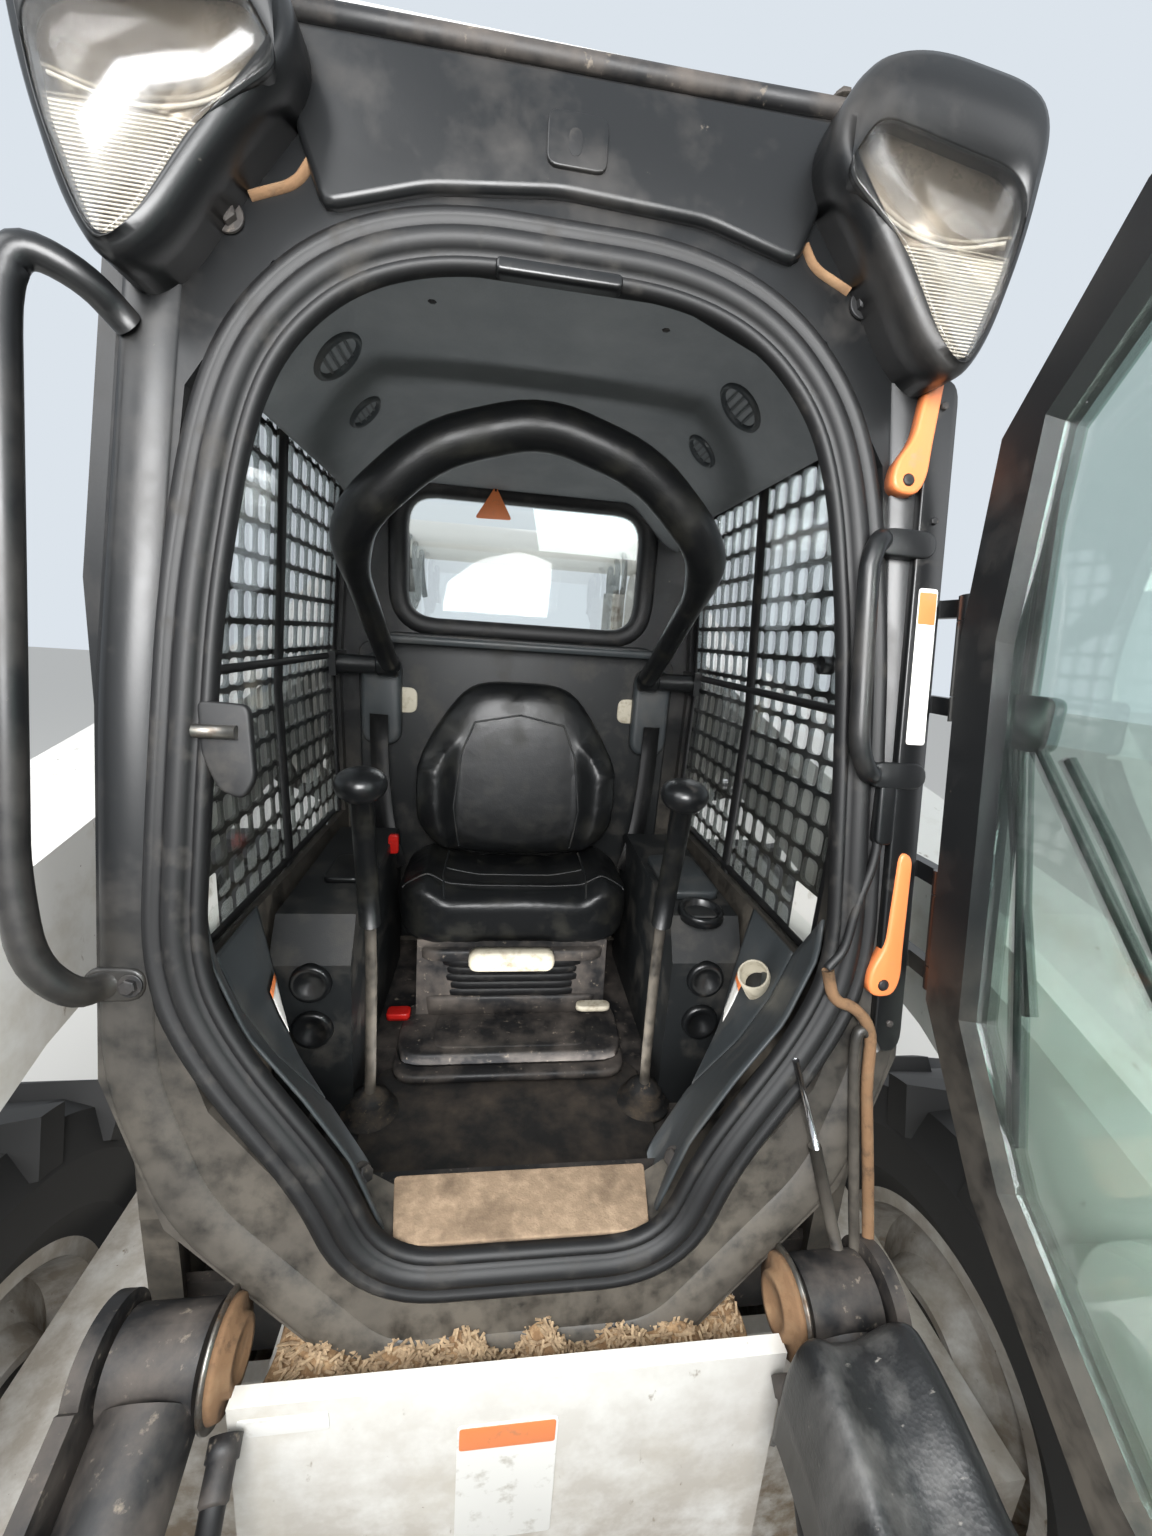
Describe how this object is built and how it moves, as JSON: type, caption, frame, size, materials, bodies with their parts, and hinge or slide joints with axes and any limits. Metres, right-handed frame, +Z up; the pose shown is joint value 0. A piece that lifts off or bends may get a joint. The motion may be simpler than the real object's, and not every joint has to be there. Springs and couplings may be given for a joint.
{
  "type": "skid steer loader",
  "caption": "Compact wheeled loader with an enclosed cab, an open swing door, radial lift arms and a digging bucket on a quick carrier.",
  "frame": {"origin": "on the ground under the middle of the machine's length and width", "axes": "+Z up, the machine faces -Y, its left side is +X"},
  "size_m": [1.88, 3.58, 2.06],
  "materials": {
    "white_paint": "gloss",
    "black_paint": "satin",
    "black_steel": "satin",
    "cast_engine": "matte",
    "worn_steel": "worn",
    "glass": "clear",
    "vinyl": "satin",
    "grey_plastic": "matte",
    "black_plastic": "matte",
    "lamp_plastic": "gloss",
    "red_lens": "gloss",
    "chrome_rod": "polished",
    "tyre_rubber": "matte"
  },
  "bodies": {
    "machine": {"main_frame": "white_paint", "engine_block": "cast_engine", "stub_axles": "black_steel", "upright_left": "white_paint", "upright_right": "white_paint", "cab_frame": "black_paint", "cab_floor": "black_steel", "cab_roof": "white_paint", "headliner": "grey_plastic", "rear_glass": "glass", "seat_base": "black_steel", "seat_cushion": "vinyl", "seat_back": "vinyl", "grab_handle": "black_paint", "hood": "white_paint", "exhaust_stack": "worn_steel", "lamp_pods": "lamp_plastic", "side_screens": "black_paint", "side_glass": "glass", "consoles": "black_plastic", "levers": "black_plastic", "tail_lamps": "red_lens"},
    "carrier": {"tool_carrier": "black_steel", "bucket": "black_steel", "bucket_edge": "worn_steel"},
    "arms": {"lift_arms": "white_paint", "tilt_ears": "white_paint"},
    "door": {"door_frame": "black_paint", "door_glass": "glass"},
    "safety_bar": {"seat_bar": "black_paint"},
    "gate": {"tailgate": "white_paint"},
    "lift_barrel_left": {"lift_barrel_left": "black_steel"},
    "lift_rod_left": {"lift_rod_left": "chrome_rod"},
    "tilt_barrel_left": {"tilt_barrel_left": "black_steel"},
    "tilt_rod_left": {"tilt_rod_left": "chrome_rod"},
    "lift_barrel_right": {"lift_barrel_right": "black_steel"},
    "lift_rod_right": {"lift_rod_right": "chrome_rod"},
    "tilt_barrel_right": {"tilt_barrel_right": "black_steel"},
    "tilt_rod_right": {"tilt_rod_right": "chrome_rod"},
    "wheel_front_left": {"rim_front_left": "white_paint", "tyre_front_left": "tyre_rubber"},
    "wheel_front_right": {"rim_front_right": "white_paint", "tyre_front_right": "tyre_rubber"},
    "wheel_rear_left": {"rim_rear_left": "white_paint", "tyre_rear_left": "tyre_rubber"},
    "wheel_rear_right": {"rim_rear_right": "white_paint", "tyre_rear_right": "tyre_rubber"}
  },
  "joints": [
    {"name": "wheel_front_left_spin", "type": "hinge", "parent": "machine", "child": "wheel_front_left", "pos_m": [0.765, -0.13, 0.415], "axis": [1, 0, 0], "continuous": true},
    {"name": "wheel_front_right_spin", "type": "hinge", "parent": "machine", "child": "wheel_front_right", "pos_m": [-0.765, -0.13, 0.415], "axis": [1, 0, 0], "continuous": true},
    {"name": "wheel_rear_left_spin", "type": "hinge", "parent": "machine", "child": "wheel_rear_left", "pos_m": [0.765, 0.996, 0.415], "axis": [1, 0, 0], "continuous": true},
    {"name": "wheel_rear_right_spin", "type": "hinge", "parent": "machine", "child": "wheel_rear_right", "pos_m": [-0.765, 0.996, 0.415], "axis": [1, 0, 0], "continuous": true},
    {"name": "arms_lift", "type": "hinge", "parent": "machine", "child": "arms", "pos_m": [0, 1.66, 1.65], "axis": [-1, 0, 0], "range_deg": [0, 55]},
    {"name": "carrier_tilt", "type": "hinge", "parent": "arms", "child": "carrier", "pos_m": [0, -1.04, 0.25], "axis": [1, 0, 0], "range_deg": [-15, 40]},
    {"name": "lift_barrel_left_swing", "type": "hinge", "parent": "machine", "child": "lift_barrel_left", "pos_m": [0.58, 1.55, 0.76], "axis": [-1, 0, 0], "range_deg": [0, 33.1]},
    {"name": "lift_rod_left_slide", "type": "slide", "parent": "lift_barrel_left", "child": "lift_rod_left", "axis": [0, -0.9121, 0.4099], "range_m": [0, 0.702]},
    {"name": "tilt_barrel_left_swing", "type": "hinge", "parent": "arms", "child": "tilt_barrel_left", "pos_m": [0.308, -0.318, 0.832], "axis": [1, 0, 0], "range_deg": [-1.7, 0.7]},
    {"name": "tilt_rod_left_slide", "type": "slide", "parent": "tilt_barrel_left", "child": "tilt_rod_left", "axis": [0, -0.935, -0.3547], "range_m": [-0.08, 0.21]},
    {"name": "lift_barrel_right_swing", "type": "hinge", "parent": "machine", "child": "lift_barrel_right", "pos_m": [-0.58, 1.55, 0.76], "axis": [-1, 0, 0], "range_deg": [0, 33.1]},
    {"name": "lift_rod_right_slide", "type": "slide", "parent": "lift_barrel_right", "child": "lift_rod_right", "axis": [0, -0.9121, 0.4099], "range_m": [0, 0.702]},
    {"name": "tilt_barrel_right_swing", "type": "hinge", "parent": "arms", "child": "tilt_barrel_right", "pos_m": [-0.308, -0.318, 0.832], "axis": [1, 0, 0], "range_deg": [-1.7, 0.7]},
    {"name": "tilt_rod_right_slide", "type": "slide", "parent": "tilt_barrel_right", "child": "tilt_rod_right", "axis": [0, -0.935, -0.3547], "range_m": [-0.08, 0.21]},
    {"name": "door_swing", "type": "hinge", "parent": "machine", "child": "door", "pos_m": [0.39, -0.32212, 0.845], "axis": [0, 0.1532, 0.9882], "range_deg": [-90, 0]},
    {"name": "seat_bar_fold", "type": "hinge", "parent": "machine", "child": "safety_bar", "pos_m": [0, 0.61, 1.38], "axis": [1, 0, 0], "range_deg": [0, 60]},
    {"name": "tailgate_swing", "type": "hinge", "parent": "machine", "child": "gate", "pos_m": [-0.426, 1.748, 0.9], "axis": [0, 0, 1], "range_deg": [0, 100]}
  ],
  "couplings": [
    {"joint": "lift_barrel_left_swing", "follows": "arms_lift", "ratio": 0.6},
    {"joint": "lift_rod_left_slide", "follows": "arms_lift", "m_per_rad": 0.7303},
    {"joint": "tilt_barrel_left_swing", "follows": "carrier_tilt", "ratio": -0.04},
    {"joint": "tilt_rod_left_slide", "follows": "carrier_tilt", "m_per_rad": 0.29},
    {"joint": "lift_barrel_right_swing", "follows": "arms_lift", "ratio": 0.6},
    {"joint": "lift_rod_right_slide", "follows": "arms_lift", "m_per_rad": 0.7303},
    {"joint": "tilt_barrel_right_swing", "follows": "carrier_tilt", "ratio": -0.04},
    {"joint": "tilt_rod_right_slide", "follows": "carrier_tilt", "m_per_rad": 0.29}
  ]
}
